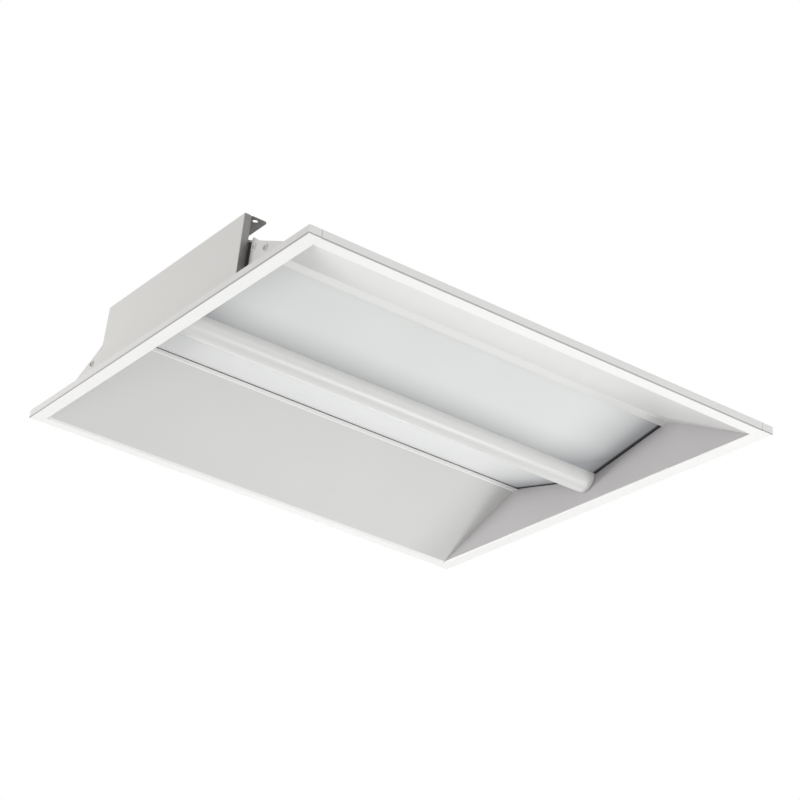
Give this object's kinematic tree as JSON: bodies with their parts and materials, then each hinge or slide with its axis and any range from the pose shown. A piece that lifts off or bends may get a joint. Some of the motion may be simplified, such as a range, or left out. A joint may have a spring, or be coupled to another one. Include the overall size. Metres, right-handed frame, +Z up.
{
  "type": "recessed troffer light",
  "caption": "Square recessed lay-in ceiling light with white side reflectors, frosted diffusers either side of a half-round centre spine, a top driver bay and swing-out grid clips.",
  "frame": {"origin": "centre of the square trim at the underside of its flange, the face that rests on the ceiling grid", "axes": "+X along the centre spine towards the far end, +Y to the left-hand diffuser, +Z up into the ceiling"},
  "size_m": [0.603, 0.603, 0.091],
  "materials": {
    "white_trim_paint": "satin powder coat",
    "white_reflector_paint": "matte powder coat",
    "frosted_acrylic": "frosted, fine grain",
    "black_foam": "closed-cell foam",
    "white_spine_paint": "satin powder coat",
    "white_board": "white solder mask",
    "led_phosphor": "phosphor domes",
    "spring_steel": "bright",
    "zinc_steel": "zinc plated",
    "galvanised_sheet": "galvanised",
    "driver_case": "white enamel",
    "green_screw": "green plated",
    "black_rubber": "matte",
    "black_nylon": "matte",
    "connector_white": "moulded",
    "connector_orange": "moulded"
  },
  "bodies": {
    "housing": {"end_plate_near": "white_trim_paint", "end_plate_far": "white_trim_paint", "end_cap_near": "white_trim_paint", "end_cap_far": "white_trim_paint", "end_reflector_near": "white_reflector_paint", "end_reflector_far": "white_reflector_paint", "spine_cap_near": "white_spine_paint", "spine_cap_far": "white_spine_paint", "side_reflector_right": "white_reflector_paint", "side_reflector_left": "white_reflector_paint", "diffuser_right": "frosted_acrylic", "diffuser_left": "frosted_acrylic", "diffuser_gasket_right": "black_foam", "diffuser_gasket_left": "black_foam", "lens_clips_right": "spring_steel", "lens_clips_left": "spring_steel", "led_board_right": "white_board", "led_board_left": "white_board", "led_chips_right": "led_phosphor", "led_chips_left": "led_phosphor", "clip_bracket_near_right": "zinc_steel", "clip_bracket_near_left": "zinc_steel", "clip_bracket_far_left": "zinc_steel", "clip_bracket_far_right": "zinc_steel", "light_seals": "black_foam", "end_rivets": "white_trim_paint", "spine_heat_sink": "white_spine_paint", "spine_screws": "zinc_steel", "upper_reflector": "white_reflector_paint", "led_driver": "driver_case", "driver_screws": "zinc_steel", "earth_screw": "green_screw", "compartment_divider": "galvanised_sheet", "lead_grommet": "black_rubber", "cover_hinge_leaf": "galvanised_sheet", "cover_hinge_pin": "zinc_steel", "splice_cover": "galvanised_sheet", "splice_screws": "zinc_steel", "supply_bushing": "black_nylon", "knockout_blank": "zinc_steel", "disconnect_socket": "connector_white", "clip_rivets": "zinc_steel", "corner_gussets": "zinc_steel"},
    "grid_clip_near_right": {"grid_clip_near_right": "zinc_steel"},
    "grid_clip_near_left": {"grid_clip_near_left": "zinc_steel"},
    "grid_clip_far_left": {"grid_clip_far_left": "zinc_steel"},
    "grid_clip_far_right": {"grid_clip_far_right": "zinc_steel"},
    "driver_cover": {"driver_cover": "galvanised_sheet"},
    "cover_stud": {"cover_stud": "zinc_steel"},
    "disconnect_plug": {"disconnect_plug": "connector_orange"}
  },
  "joints": [
    {"name": "grid_clip_near_right_swing", "type": "hinge", "parent": "housing", "child": "grid_clip_near_right", "pos_m": [-0.215, -0.263, 0.0267], "axis": [0, 0, -1], "range_deg": [0, 90]},
    {"name": "grid_clip_near_left_swing", "type": "hinge", "parent": "housing", "child": "grid_clip_near_left", "pos_m": [-0.215, 0.263, 0.0267], "axis": [0, 0, 1], "range_deg": [0, 90]},
    {"name": "grid_clip_far_left_swing", "type": "hinge", "parent": "housing", "child": "grid_clip_far_left", "pos_m": [0.215, 0.263, 0.0267], "axis": [0, 0, -1], "range_deg": [0, 90]},
    {"name": "grid_clip_far_right_swing", "type": "hinge", "parent": "housing", "child": "grid_clip_far_right", "pos_m": [0.215, -0.263, 0.0267], "axis": [0, 0, 1], "range_deg": [0, 90]},
    {"name": "driver_cover_hinge", "type": "hinge", "parent": "housing", "child": "driver_cover", "pos_m": [0.0738, 0.084, 0.086], "axis": [-1, 0, 0], "range_deg": [0, 110]},
    {"name": "cover_stud_turn", "type": "hinge", "parent": "driver_cover", "child": "cover_stud", "pos_m": [0.074, -0.071, 0.0845], "axis": [0, 0, 1], "range_deg": [0, 90]},
    {"name": "disconnect_pull", "type": "slide", "parent": "housing", "child": "disconnect_plug", "axis": [-1, 0, 0], "range_m": [0, 0.012]}
  ]
}
